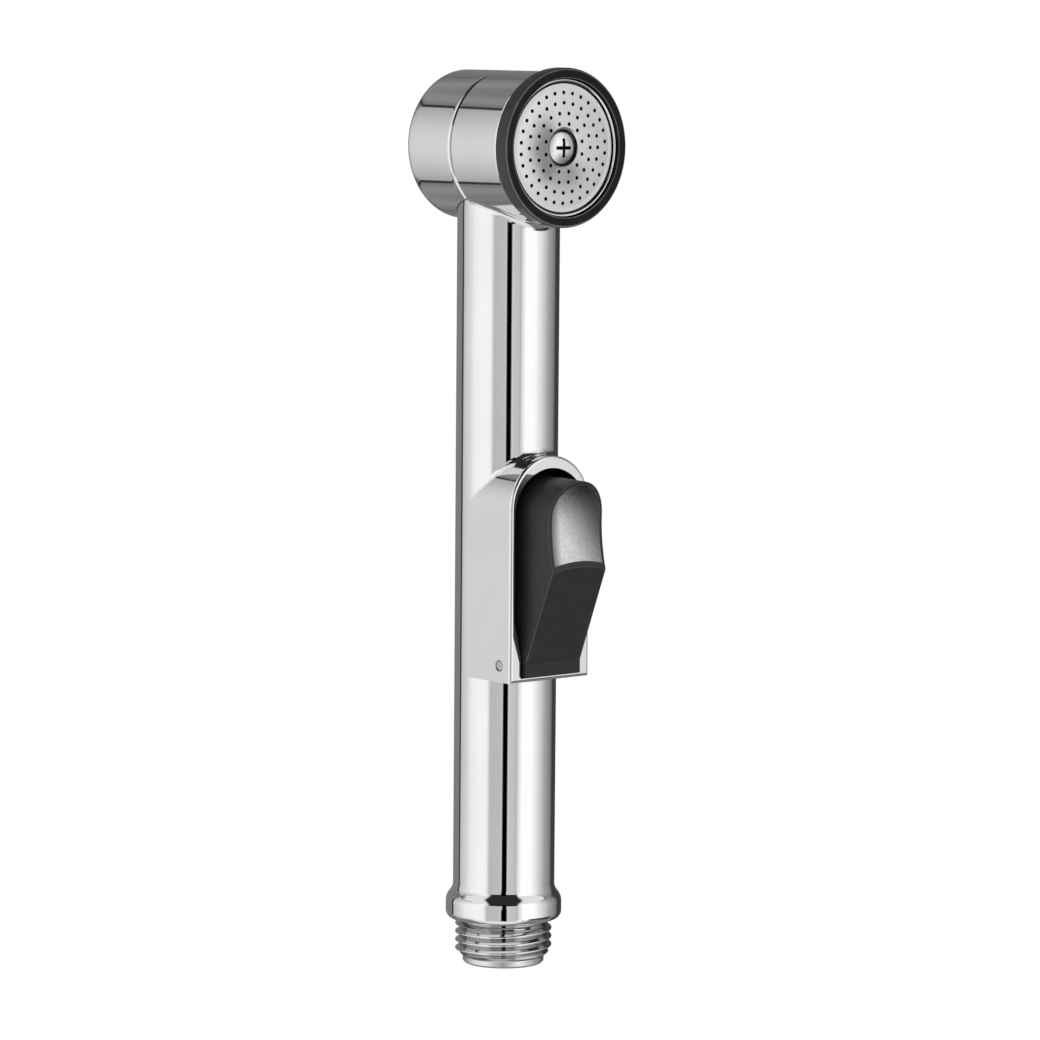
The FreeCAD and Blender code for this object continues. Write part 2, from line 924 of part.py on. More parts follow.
def centre_screw():
    """A pan-head screw with a cross recess, driven into the insert's boss."""
    seat = plate_back - dimple_depth + dimple_wall
    top = seat + screw_head_height
    head_edge = seat + screw_head_height / 3
    screw = turned(
        (0, seat - screw_length),
        (screw_shank_radius / 2, seat - screw_length),
        (screw_shank_radius, seat - screw_length + screw_shank_radius),
        (screw_shank_radius, seat),
        (screw_head_radius, seat),
        (screw_head_radius, head_edge),
        (screw_head_radius * 0.62, top - screw_head_height * 0.13, 0, top),
    )
    for turn in (0, 90):
        arm = block(
            Vector(-screw_cross_length / 2, -screw_cross_width / 2, top - screw_cross_depth),
            Vector(screw_cross_length / 2, screw_cross_width / 2, top + 1),
        )
        arm.rotate(Vector(0, 0, 0), UP, turn)
        screw = screw.cut(arm)
    return at_head(screw)


def sub_parts():
    """Every separate piece, by the name of its node."""
    front_ring = cartridge_front - cartridge_land - o_ring_groove / 2
    rear_ring = cartridge_back + cartridge_land + o_ring_groove / 2
    return {
        "handle_body": handle_body(),
        "rear_cap": rear_cap(),
        "inlet_nipple": inlet_nipple(),
        "nipple_o_ring": nipple_o_ring(),
        "gland_nut": gland_nut(),
        "valve_cartridge": valve_cartridge(),
        "cartridge_o_ring_front": cartridge_o_ring(front_ring),
        "cartridge_o_ring_rear": cartridge_o_ring(rear_ring),
        "stem_o_ring": stem_o_ring(),
        "valve_stem": valve_stem(),
        "valve_plug": valve_plug(),
        "valve_spring": valve_spring(),
        "lever": lever(),
        "thumb_pad": thumb_pad(),
        "pivot_pin": pivot_pin(),
        "water_distributor": water_distributor(),
        "insert_o_ring": insert_o_ring(),
        "bezel_ring": bezel_ring(),
        "trim_ring": trim_ring(),
        "plate_gasket": plate_gasket(),
        "spray_plate": spray_plate(),
        "centre_screw": centre_screw(),
    }


os.makedirs("parts", exist_ok=True)
for node, shape in sub_parts().items():
    shape.exportStep(os.path.join("parts", node + ".step"))
    bounds = shape.BoundBox
    print(
        node,
        "solids", len(shape.Solids),
        "valid", shape.isValid(),
        "volume", round(shape.Volume, 1),
        "z", round(bounds.ZMin, 2), round(bounds.ZMax, 2),
        "forward", round(-bounds.YMax, 2), round(-bounds.YMin, 2),
    )
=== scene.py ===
import math

import bmesh
import bpy
from mathutils import Matrix, Vector


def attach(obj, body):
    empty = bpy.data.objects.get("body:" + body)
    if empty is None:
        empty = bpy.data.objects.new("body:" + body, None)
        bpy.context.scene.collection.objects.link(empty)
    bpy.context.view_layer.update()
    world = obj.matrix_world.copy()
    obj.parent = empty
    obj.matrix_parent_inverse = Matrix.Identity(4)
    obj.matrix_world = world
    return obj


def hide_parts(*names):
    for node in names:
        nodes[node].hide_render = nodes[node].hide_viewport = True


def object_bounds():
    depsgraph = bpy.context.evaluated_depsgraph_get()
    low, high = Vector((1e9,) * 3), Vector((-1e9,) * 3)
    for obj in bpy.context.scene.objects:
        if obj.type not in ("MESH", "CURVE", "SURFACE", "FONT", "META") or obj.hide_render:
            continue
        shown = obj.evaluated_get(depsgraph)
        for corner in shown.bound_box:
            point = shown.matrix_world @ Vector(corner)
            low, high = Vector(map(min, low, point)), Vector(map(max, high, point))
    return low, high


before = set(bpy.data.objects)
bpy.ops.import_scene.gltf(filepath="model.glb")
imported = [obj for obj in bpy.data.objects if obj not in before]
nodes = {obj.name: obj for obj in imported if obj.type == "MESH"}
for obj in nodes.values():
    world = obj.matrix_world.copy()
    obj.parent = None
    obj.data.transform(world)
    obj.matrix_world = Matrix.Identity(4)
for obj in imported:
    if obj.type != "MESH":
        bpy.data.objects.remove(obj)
cad_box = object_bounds()
MM = 0.001


# The handle is one brass casting with the collar, the lever's arched housing and the head's
# barrel. It is ground, buffed and plated with bright chromium. The housing's cavity is painted
# near black and made rougher, as painted shade. The wheel leaves faint waves, and hands leave a
# dull film with hair-thin scratches.
class Socket:
    """A shader value in an expression."""

    def __init__(self, tree, link):
        self.tree = tree
        self.link = link

    def node(self, kind, settings=None, **inputs):
        return add_node(self.tree, kind, settings, **inputs)

    def math(self, operation, first, second=0.0):
        return self.node("ShaderNodeMath", {"operation": operation}, i0=first, i1=second)["Value"]

    def __add__(self, other):
        return self.math("ADD", self, other)

    def __radd__(self, other):
        return self.math("ADD", other, self)

    def __sub__(self, other):
        return self.math("SUBTRACT", self, other)

    def __rsub__(self, other):
        return self.math("SUBTRACT", other, self)

    def __mul__(self, other):
        return self.math("MULTIPLY", self, other)

    def __rmul__(self, other):
        return self.math("MULTIPLY", other, self)

    def __truediv__(self, other):
        return self.math("DIVIDE", self, other)

    def __pow__(self, other):
        return self.math("POWER", self, other)

    def __neg__(self):
        return self * -1

    def __abs__(self):
        return self.math("ABSOLUTE", self)

    def above(self, edge, softness):
        """0 below the edge and 1 above it, with a soft step between."""
        return self.node(
            "ShaderNodeMapRange", {"interpolation_type": "SMOOTHSTEP"},
            i0=self, i1=edge - softness, i2=edge + softness, i3=0.0, i4=1.0,
        )["Result"]

    def between(self, low, high, softness):
        """1 from the low edge to the high one and 0 outside them."""
        return self.above(low, softness) * (1 - self.above(high, softness))

    def ramp(self, *stops):
        """A grey ramp. Each stop is a place from 0 to 1, and its value there."""
        return self.node("ShaderNodeValToRGB", {"stops": stops}, i0=self)["Color"]


def add_node(tree, kind, settings=None, **inputs):
    """Adds a node and gives its outputs by name. An input has its name or a number, as i0."""
    node = tree.nodes.new(kind)
    for name, value in (settings or {}).items():
        if name == "stops":
            elements = node.color_ramp.elements
            while len(elements) < len(value):
                elements.new(1.0)
            for element, (place, tone) in zip(elements, value):
                element.position = place
                element.color = (tone, tone, tone, 1)
        else:
            setattr(node, name, value)
    for name, value in inputs.items():
        key = int(name[1:]) if name[1:].isdigit() else name.replace("_", " ")
        if isinstance(value, Socket):
            tree.links.new(value.link, node.inputs[key])
        else:
            node.inputs[key].default_value = value
    return {output.name: Socket(tree, output) for output in node.outputs if output.enabled}


class Finish:
    """A material with one Principled shader, and the patterns that it is painted with."""

    def __init__(self, name, colour, roughness, metallic=0.0, specular=0.5):
        self.material = bpy.data.materials.new(name)
        self.material.use_nodes = True
        self.tree = self.material.node_tree
        self.shader = self.tree.nodes["Principled BSDF"]
        self.place = self.node("ShaderNodeTexCoord")["Object"]
        self.set("Base Color", (*colour, 1))
        self.set("Roughness", roughness)
        self.set("Metallic", metallic)
        self.set("Specular IOR Level", specular)

    def node(self, kind, settings=None, **inputs):
        return add_node(self.tree, kind, settings, **inputs)

    def set(self, socket, value):
        if isinstance(value, Socket):
            self.tree.links.new(value.link, self.shader.inputs[socket])
        else:
            self.shader.inputs[socket].default_value = value

    def noise(self, per_mm, detail=2.0, stretch=(1, 1, 1), roughness=0.5):
        """Noise from 0 to 1, with so many features in a millimetre, drawn out along an axis."""
        scaled = self.node(
            "ShaderNodeMapping", {"vector_type": "POINT"},
            Vector=self.place, Scale=tuple(per_mm / MM / draw for draw in stretch),
        )["Vector"]
        return self.node(
            "ShaderNodeTexNoise", {"noise_dimensions": "3D"},
            Vector=scaled, Scale=1.0, Detail=detail, Roughness=roughness,
        )["Fac"]

    def lines(self, along, per_mm, detail, roughness=0.5):
        """Noise from 0 to 1 that changes along one measure only, such as a lathe's marks."""
        return self.node(
            "ShaderNodeTexNoise", {"noise_dimensions": "1D"},
            W=along * per_mm, Scale=1.0, Detail=detail, Roughness=roughness,
        )["Fac"]

    def axes(self):
        """The place on the object in millimetres."""
        split = self.node("ShaderNodeSeparateXYZ", i0=self.place)
        return split["X"] / MM, split["Y"] / MM, split["Z"] / MM

    def blend(self, mask, first, second):
        """The first colour where the mask is 0, and the second where it is 1."""
        first, second = (
            colour if isinstance(colour, Socket) else (*colour, 1) for colour in (first, second)
        )
        return self.node(
            "ShaderNodeMix", {"data_type": "RGBA", "clamp_factor": True},
            i0=mask, i6=first, i7=second,
        )["Result"]

    def bump(self, height, depth_mm, **inputs):
        bumped = self.node("ShaderNodeBump", Height=height, Distance=depth_mm * MM, **inputs)
        self.set("Normal", bumped["Normal"])

    def paint(self, *objects):
        for obj in objects:
            obj.data.materials.clear()
            obj.data.materials.append(self.material)


CHROME = (0.83, 0.835, 0.84)
CHROME_DULL = (0.76, 0.765, 0.77)
CHROME_ROUGHNESS = 0.035
FILM_PATCHES = ((0.45, 0.0), (0.75, 1.0))
FILM_ROUGHNESS = 0.05
FILM_DULLS = 0.5
HAIR_STRETCH = (1, 1, 14)
HAIR_LINES = ((0.6, 0.0), (0.68, 1.0))
HAIR_ROUGHNESS = 0.05
WAVES_PER_MM = 0.12
WAVE_DEPTH = 0.002
CAVITY_PAINTED_SHADE = (0.012, 0.012, 0.012)
CAVITY_ROUGHNESS = 0.4
CAVITY_BACK = 7.0
CAVITY_MOUTH = 14.45
CAVITY_HALF_WIDTH = 10.05
CAVITY_FLOOR = 64.15
CAVITY_TOP = 108.85


class Plating(Finish):
    """Bright chromium with a dull film in patches, and hair-thin scratches in the film."""

    def __init__(self, name):
        super().__init__(name, CHROME, CHROME_ROUGHNESS, metallic=1.0)
        film = self.noise(0.05, detail=3).ramp(*FILM_PATCHES)
        hairs = self.noise(1.6, detail=4, stretch=HAIR_STRETCH, roughness=0.7).ramp(*HAIR_LINES)
        self.gloss = CHROME_ROUGHNESS + film * FILM_ROUGHNESS + hairs * film * HAIR_ROUGHNESS
        self.colour = self.blend(film * FILM_DULLS, CHROME, CHROME_DULL)
        self.set("Roughness", self.gloss)
        self.set("Base Color", self.colour)
        self.bump(self.noise(WAVES_PER_MM, detail=1), WAVE_DEPTH)


chrome = Plating("chrome_plate")

body_chrome = Plating("body_chrome")
x, y, z = body_chrome.axes()
over_spring = z.math("MAXIMUM", z - (CAVITY_TOP - CAVITY_HALF_WIDTH), 0.0)
from_middle = (x * x + over_spring ** 2) ** 0.5
in_cavity = (
    (-y).between(CAVITY_BACK, CAVITY_MOUTH, 0.15)
    * (1 - from_middle.above(CAVITY_HALF_WIDTH, 0.04))
    * z.above(CAVITY_FLOOR, 0.05)
)
# Inside the housing's cavity the chrome is painted near black: painted shade.
body_chrome.set("Roughness", body_chrome.gloss + in_cavity * CAVITY_ROUGHNESS)
body_chrome.set("Base Color", body_chrome.blend(in_cavity, body_chrome.colour, CAVITY_PAINTED_SHADE))
body_chrome.paint(nodes["handle_body"])


# The nipple is turned brass with a half-inch pipe thread, plated with the handle. The thread
# is cut with flanks of 55 degrees and round crests and roots, and a chamfer runs it out at its
# foot. Above it a relief leaves a gap under the collar. The thread's roots and the relief are
# painted dark grey as painted shade.
PITCH = 1.814
CREST_RADIUS = 10.4775
THREAD_ROUND = 0.249
HALF_FLANK = math.radians(27.5)
THREAD_DEPTH = 1.162
ROOT_RADIUS = CREST_RADIUS - THREAD_DEPTH
FIRST_CREST = 0.5
TURNS = 5
RUNOUT_FOOT = 1.4
RUNOUT_SLOPE = 1.1
THREAD_TOP = 9.0
TOP_SLOPE = 2.5
NOSE_RADIUS = 8.8
NOSE_EDGE = 0.4
RIDGE_SINK = 0.3
BORE_RADIUS = 6.5
BORE_EDGE = 0.5
RELIEF_RADIUS = 9.2
SPIGOT_RADIUS = 9.25
SPIGOT_FOOT = 9.8
SPIGOT_EDGE = 0.05
NIPPLE_TOP = 18.8
ARC_STEPS = 5
STEPS_A_TURN = 96
WELD = 1e-7


def finished(bm, name, smooth_angle=35):
    """Turns a bmesh into an object whose faces point outwards and whose round faces are smooth."""
    bmesh.ops.recalc_face_normals(bm, faces=bm.faces)
    mesh = bpy.data.meshes.new(name)
    bm.to_mesh(mesh)
    bm.free()
    mesh.shade_smooth()
    mesh.set_sharp_from_angle(angle=math.radians(smooth_angle))
    obj = bpy.data.objects.new(name, mesh)
    bpy.context.scene.collection.objects.link(obj)
    return obj


def thread_side():
    """Half of one ridge, from the middle of a root up to the middle of the crest."""
    points = []
    for step in range(ARC_STEPS + 1):
        lean = (math.pi / 2 - HALF_FLANK) * step / ARC_STEPS
        points.append((
            ROOT_RADIUS + THREAD_ROUND * (1 - math.cos(lean)),
            -PITCH / 2 + THREAD_ROUND * math.sin(lean),
        ))
    for step in range(ARC_STEPS + 1):
        lean = (math.pi / 2 - HALF_FLANK) * (1 - step / ARC_STEPS)
        points.append((
            CREST_RADIUS - THREAD_ROUND * (1 - math.cos(lean)),
            -THREAD_ROUND * math.sin(lean),
        ))
    return points


nipple = bmesh.new()
outline = [nipple.verts.new((radius * MM, 0, height * MM)) for radius, height in (
    (BORE_RADIUS + BORE_EDGE, 0),
    (NOSE_RADIUS - NOSE_EDGE, 0),
    (NOSE_RADIUS, NOSE_EDGE),
    (NOSE_RADIUS, RUNOUT_FOOT + NOSE_EDGE),
    (NOSE_RADIUS, THREAD_TOP),
    (RELIEF_RADIUS, THREAD_TOP),
    (RELIEF_RADIUS, SPIGOT_FOOT),
    (SPIGOT_RADIUS, SPIGOT_FOOT + SPIGOT_EDGE),
    (SPIGOT_RADIUS, NIPPLE_TOP),
    (BORE_RADIUS, NIPPLE_TOP),
    (BORE_RADIUS, BORE_EDGE),
)]
sides = [nipple.edges.new(pair) for pair in zip(outline, outline[1:] + outline[:1])]
bmesh.ops.spin(
    nipple, geom=outline + sides, cent=(0, 0, 0), axis=(0, 0, 1),
    angle=math.tau, steps=STEPS_A_TURN, use_merge=True,
)
bmesh.ops.remove_doubles(nipple, verts=nipple.verts, dist=WELD)

rising = thread_side()
falling = [(radius, -height) for radius, height in reversed(rising)]
sunk = NOSE_RADIUS - RIDGE_SINK
section = [(sunk, rising[0][1]), *rising, *falling[1:], (sunk, falling[-1][1])]
ridge = bmesh.new()
ridge_face = ridge.faces.new([
    ridge.verts.new((radius * MM, 0, (FIRST_CREST + height) * MM)) for radius, height in section
])
turn_steps = STEPS_A_TURN * TURNS
bmesh.ops.spin(
    ridge, geom=[ridge_face], cent=(0, 0, 0), axis=(0, 0, 1),
    angle=math.tau * TURNS, steps=turn_steps,
    dvec=(0, 0, PITCH * MM * TURNS / turn_steps), use_merge=False,
)
bmesh.ops.remove_doubles(ridge, verts=ridge.verts, dist=WELD)
for vert in ridge.verts:
    radius = math.hypot(vert.co.x, vert.co.y) / MM
    height = vert.co.z / MM
    foot_limit = NOSE_RADIUS + (height - RUNOUT_FOOT) * RUNOUT_SLOPE
    top_limit = RELIEF_RADIUS + (THREAD_TOP - height) * TOP_SLOPE
    limit = max(min(foot_limit, top_limit), sunk)
    if radius > limit:
        vert.co.x *= limit / radius
        vert.co.y *= limit / radius
    vert.co.z = min(max(vert.co.z, RUNOUT_FOOT * MM), THREAD_TOP * MM)
bmesh.ops.dissolve_degenerate(ridge, dist=WELD, edges=ridge.edges)
bmesh.ops.recalc_face_normals(ridge, faces=ridge.faces)
ridge_mesh = bpy.data.meshes.new("ridge")
ridge.to_mesh(ridge_mesh)
ridge.free()
nipple.from_mesh(ridge_mesh)
bpy.data.meshes.remove(ridge_mesh)
threaded_nipple = finished(nipple, "threaded_nipple")

NOSE_TOP = 1.45
NOSE_SATIN = 0.3
CUT_ROUGHNESS = 0.03
CUT_DULLS = 0.6
CUT_DEPTH = 0.002
ROOT_PAINTED_SHADE = (0.22, 0.22, 0.22)
ROOT_SHADE_STRENGTH = 0.7
ROOT_SHADE_TOP = 0.22

nose_chrome = Finish("nipple_chrome", CHROME, CHROME_ROUGHNESS, metallic=1.0)
x, y, z = nose_chrome.axes()
on_nose = 1 - z.above(NOSE_TOP, 0.15)
cut = nose_chrome.noise(3.0, detail=3, stretch=(1, 1, 0.3))
# The thread's roots and the relief below the spigot are painted dark grey: painted shade.
in_root = 1 - ((x * x + y * y) ** 0.5).above(ROOT_RADIUS + ROOT_SHADE_TOP, 0.18)
root_shade = in_root * z.between(RUNOUT_FOOT + 0.3, SPIGOT_FOOT, 0.3)
nose_chrome.set("Roughness", CHROME_ROUGHNESS + CUT_ROUGHNESS * cut + on_nose * NOSE_SATIN)
nose_chrome.set("Base Color", nose_chrome.blend(
    root_shade * ROOT_SHADE_STRENGTH, nose_chrome.blend(cut * CUT_DULLS, CHROME, CHROME_DULL), ROOT_PAINTED_SHADE,
))
nose_chrome.bump(cut, CUT_DEPTH)
nose_chrome.paint(threaded_nipple)
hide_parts("inlet_nipple")
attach(threaded_nipple, "handset")


# The cap behind the head's seam is turned from brass bar, plated like the handle and pressed on.
# Its side is as straight as the barrel's, so the crown of the CAD node is drawn out to the full
# radius. Only its edges are rounded.
HEAD_HEIGHT = 176.7
CAP_RADIUS = 16.0
CAP_CROWN = 0.25
CAP_WALL = 1.4
CAP_BORE = CAP_RADIUS - CAP_WALL
CAP_SLACK = 0.01
CAP_SHARP_ANGLE = 30

cap = bmesh.new()
cap.from_mesh(nodes["rear_cap"].data)
bmesh.ops.remove_doubles(cap, verts=cap.verts, dist=WELD)
for vert in cap.verts:
    up = vert.co.z / MM - HEAD_HEIGHT
    radius = math.hypot(vert.co.x / MM, up)
    if radius > CAP_BORE + CAP_SLACK:
        outward = (radius - CAP_BORE) / (CAP_RADIUS - CAP_CROWN - CAP_BORE)
        swell = min(radius + CAP_CROWN * outward, CAP_RADIUS) / radius
        vert.co.x *= swell
        vert.co.z = (HEAD_HEIGHT + up * swell) * MM
pressed_cap = finished(cap, "pressed_cap", smooth_angle=CAP_SHARP_ANGLE)
chrome.paint(pressed_cap)
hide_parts("rear_cap")
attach(pressed_cap, "handset")


# The valve is turned from brass bar: gland nut, ported cartridge and stem, with fine turning
# marks round the axis that runs across the handle. It is pushed in from the front, and the nut
# holds it.
BRASS = (0.72, 0.52, 0.25)
BRASS_DARK = (0.55, 0.38, 0.17)
TURNING_DEPTH = 0.01

brass = Finish("turned_brass", BRASS, 0.3, metallic=1.0)
x, y, z = brass.axes()
turning = brass.lines(y, per_mm=6.0, detail=2.0)
brass.set("Base Color", brass.blend(turning, BRASS_DARK, BRASS))
brass.set("Roughness", 0.22 + turning * 0.2)
brass.bump(turning, TURNING_DEPTH)
brass.paint(nodes["gland_nut"], nodes["valve_cartridge"], nodes["valve_stem"])


# Every seal is black nitrile rubber, moulded and then dusted so that it goes in without
# twisting. Each lies in a groove or on a seat, and its skin is dull.
RUBBER = (0.02, 0.02, 0.021)
RUBBER_DUSTED = (0.05, 0.05, 0.05)
DUST_DEPTH = 0.01

rubber = Finish("nitrile_rubber", RUBBER, 0.6)
dust = rubber.noise(2.5, detail=4)
rubber.set("Base Color", rubber.blend(dust, RUBBER, RUBBER_DUSTED))
rubber.set("Roughness", 0.5 + dust * 0.25)
rubber.bump(dust, DUST_DEPTH)
rubber.paint(*[nodes[name] for name in (
    "nipple_o_ring", "cartridge_o_ring_front", "cartridge_o_ring_rear", "stem_o_ring",
    "valve_plug", "insert_o_ring", "plate_gasket",
)])


# The lever is moulded in black glass-filled nylon with a finely eroded skin. Its edges are
# painted paler as a painted highlight, varied with wear, but not at its foot, where it swings on
# the pin inside the housing. The foot is painted darker as painted shade.
LEVER_BLACK = (0.022, 0.022, 0.023)
LEVER_WORN = (0.036, 0.036, 0.037)
LEVER_EDGE_HIGHLIGHT = (0.15, 0.15, 0.152)
LEVER_FOOT_SHADE = (0.016, 0.016, 0.017)
FOOT_TOP = 67.45
HIGHLIGHT_FROM = FOOT_TOP + 0.4
LEVER_EDGE = 0.3
SKIN_DEPTH = 0.012

black_moulding = Finish("black_moulding", LEVER_BLACK, 0.42, specular=0.4)
grain = black_moulding.noise(7.0, detail=2)
worn = black_moulding.noise(0.25, detail=3).ramp((0.5, 0.0), (0.75, 1.0))
black_moulding.set("Roughness", 0.36 + grain * 0.1 + worn * 0.05)
soft_edges = black_moulding.node(
    "ShaderNodeBevel", {"samples": 8}, Radius=LEVER_EDGE * MM,
)["Normal"]
facing = black_moulding.node("ShaderNodeNewGeometry")["Normal"]
turned_off = black_moulding.node(
    "ShaderNodeVectorMath", {"operation": "DISTANCE"}, i0=soft_edges, i1=facing,
)["Value"]
# The edges, found from the bevelled normal, are painted paler: painted highlight, varied with
# wear.
edge_highlight = turned_off.ramp((0.1, 0.0), (0.35, 1.0)) * (0.5 + worn * 0.5)
x, y, z = black_moulding.axes()
plain = black_moulding.blend(worn * 0.5, LEVER_BLACK, LEVER_WORN)
# The foot is painted darker than the rest of the lever: painted shade.
plain = black_moulding.blend(z.above(FOOT_TOP, 0.02), LEVER_FOOT_SHADE, plain)
black_moulding.set("Base Color", black_moulding.blend(
    edge_highlight * z.above(HIGHLIGHT_FROM, 0.3), plain, LEVER_EDGE_HIGHLIGHT,
))
black_moulding.bump(grain, SKIN_DEPTH, Normal=soft_edges)
black_moulding.paint(nodes["lever"])


# The thumb pad is a die-cast inlay with a fine bead-blasted, satin-plated face, glued into the
# lever's upper hollow. Its colour is painted darker towards its tip and to the right, and along
# its left edge, as painted shade.
PAD_SILVER = (0.78, 0.78, 0.785)
PAD_SHADE = (0.52, 0.52, 0.525)
PAD_PAINTED_SHADE = (0.13, 0.13, 0.132)
PAD_FOOT = 89.0
PAD_HEIGHT = 18.0
PAD_WIDTH = 14.0
PAD_LEFT = -5.3
BLAST_DEPTH = 0.02

satin_pad = Finish("satin_pad", PAD_SILVER, 0.3, metallic=1.0)
blast = satin_pad.noise(5.0, detail=2)
mottle = satin_pad.noise(1.3, detail=4, roughness=0.75).ramp((0.3, 0.0), (0.7, 1.0))
x, y, z = satin_pad.axes()
# Painted shade: darker towards the tip and the right side, and at the left edge.
towards_tip = (z - PAD_FOOT) / PAD_HEIGHT + x / PAD_WIDTH
tip_shade = towards_tip.ramp((0.12, 0.0), (0.8, 0.85), (1.0, 1.0))
left_edge_shade = (1 - x.above(PAD_LEFT, 1.2)) * 0.85
silver = satin_pad.blend(mottle, PAD_SHADE, PAD_SILVER)
satin_pad.set("Base Color", satin_pad.blend(
    tip_shade.math("MAXIMUM", tip_shade, left_edge_shade), silver, PAD_PAINTED_SHADE,
))
satin_pad.set("Roughness", 0.22 + mottle * 0.1)
satin_pad.bump(blast, BLAST_DEPTH)
satin_pad.paint(nodes["thumb_pad"])


# The pivot is a hardened dowel, drawn, cut and tumbled, driven through both cheeks until its
# chamfered ends lie a hair below them. The spring is wound from drawn stainless wire.
STEEL = (0.66, 0.66, 0.67)
STEEL_SHADE = (0.5, 0.5, 0.51)

bright_steel = Finish("bright_steel", STEEL, 0.25, metallic=1.0)
drawn = bright_steel.noise(2.0, detail=3, stretch=(8, 1, 1))
bright_steel.set("Roughness", 0.16 + drawn * 0.16)
bright_steel.set("Base Color", bright_steel.blend(drawn, STEEL_SHADE, STEEL))
bright_steel.paint(nodes["pivot_pin"], nodes["valve_spring"])


# The insert that spreads the water behind the plate is turned from black acetal. It is pushed
# into the barrel, and shows only as the dark gap round the plate's edge.
ACETAL = (0.015, 0.015, 0.016)
ACETAL_DARK = (0.012, 0.012, 0.013)
ACETAL_PALE = (0.022, 0.022, 0.023)

acetal = Finish("black_acetal", ACETAL, 0.5)
flow = acetal.noise(1.2, detail=3)
acetal.set("Roughness", 0.4 + flow * 0.2)
acetal.set("Base Color", acetal.blend(flow, ACETAL_DARK, ACETAL_PALE))
acetal.paint(nodes["water_distributor"])


# The spray plate is pressed from stainless sheet. It is faced on a lathe, so its satin skin has
# fine rings round the screw. Fans to the left of and below the screw are painted darker: painted
# shade in place of the light that the rings draw out. The dimple under the screw is painted black
# as painted shade.
PLATE_STEEL = (0.86, 0.86, 0.865)
PLATE_SHADE = (0.66, 0.66, 0.67)
PLATE_FAN_SHADE = (0.3, 0.3, 0.305)
PLATE_DIMPLE_SHADE = (0.01, 0.01, 0.01)
DIMPLE_EDGE = 3.93
FAN_REACH = 8.4
FAN_FADE = 3.2
RING_DEPTH = 0.006

satin_steel = Finish("faced_steel", PLATE_STEEL, 0.3, metallic=1.0)
x, y, z = satin_steel.axes()
up = z - HEAD_HEIGHT
from_axis = (x * x + up ** 2) ** 0.5
rings = satin_steel.lines(from_axis, per_mm=9.0, detail=3.0, roughness=0.7)
cloud = satin_steel.noise(0.35, detail=4)
# Painted shade in fans to the left of and below the screw.
left_fan_shade = (-x / from_axis).above(0.62, 0.38)
low_fan_shade = (-up / from_axis).above(0.66, 0.34) * 0.65
painted_fans = (left_fan_shade + low_fan_shade) * (1 - from_axis.above(FAN_REACH, FAN_FADE)) * (0.7 + cloud * 0.9)
skin = satin_steel.blend(rings * 0.6 + cloud * 0.4, PLATE_SHADE, PLATE_STEEL)
skin = satin_steel.blend(painted_fans, skin, PLATE_FAN_SHADE)
# The dimple under the screw is painted near black: painted shade.
skin = satin_steel.blend(from_axis.above(DIMPLE_EDGE, 0.04), PLATE_DIMPLE_SHADE, skin)
satin_steel.set("Base Color", skin)
satin_steel.set("Roughness", 0.2 + rings * 0.12 + cloud * 0.06)
satin_steel.bump(rings, RING_DEPTH)
satin_steel.paint(nodes["spray_plate"])


# The trim ring round the plate is rolled from thin brass wire, brazed shut and plated like the
# handle. It is snapped into the bezel's bore.
chrome.paint(nodes["trim_ring"])


# The bezel is moulded in black plastic and polished in the mould, so it shines more than the
# lever does. It is pressed over the barrel's front. Its side is painted lighter than its face as
# painted light, and its outer edge and its lip are painted paler as painted highlights, varied
# with handling.
BEZEL_BLACK = (0.006, 0.006, 0.006)
BEZEL_WORN = (0.014, 0.014, 0.014)
BEZEL_SIDE_LIGHT = (0.06, 0.06, 0.06)
BEZEL_EDGE_HIGHLIGHT = (0.2, 0.2, 0.2)
BEZEL_RADIUS = 16.85
BEZEL_BORE = 14.65
BEZEL_FRONT = 18.8
BEZEL_EDGE = 0.5
SIDE_START = BEZEL_RADIUS - 0.2
LIP_END = BEZEL_BORE + 0.15
MOULD_DEPTH = 0.002

gloss_black = Finish("gloss_black", BEZEL_BLACK, 0.1, specular=0.12)
handling = gloss_black.noise(0.35, detail=4).ramp((0.4, 0.0), (0.8, 1.0))
gloss_black.set("Roughness", 0.07 + handling * 0.1)
x, y, z = gloss_black.axes()
from_axis = (x * x + (z - HEAD_HEIGHT) ** 2) ** 0.5
on_side = from_axis.above(SIDE_START, 0.12)
near_front = (-y).above(BEZEL_FRONT - BEZEL_EDGE, 0.1)
on_edge = from_axis.between(BEZEL_RADIUS - BEZEL_EDGE, SIDE_START, 0.08) * near_front
on_lip = (1 - from_axis.above(LIP_END, 0.06)) * (-y).above(BEZEL_FRONT - 0.1, 0.05)
skin = gloss_black.blend(handling, BEZEL_BLACK, BEZEL_WORN)
# The side is painted lighter than the face: painted light.
skin = gloss_black.blend(on_side, skin, BEZEL_SIDE_LIGHT)
# The outer front edge and the lip are painted paler: painted highlights, varied with handling.
skin = gloss_black.blend((on_edge + on_lip) * (0.6 + handling * 0.4), skin, BEZEL_EDGE_HIGHLIGHT)
gloss_black.set("Base Color", skin)
gloss_black.bump(gloss_black.noise(0.6, detail=1), MOULD_DEPTH)
gloss_black.paint(nodes["bezel_ring"])


# The screw in the middle is cold-headed stainless steel with a polished low crown, and holds the
# plate to the insert. The cross recess is painted near black as painted shade.
SCREW_STEEL = (0.97, 0.97, 0.97)
RECESS_PAINTED_SHADE = (0.008, 0.008, 0.008)
ARM_HALF_WIDTH = 0.42
ARM_LENGTH = 2.05
RECESS_EDGE = 17.55
SMEAR_DEPTH = 0.003

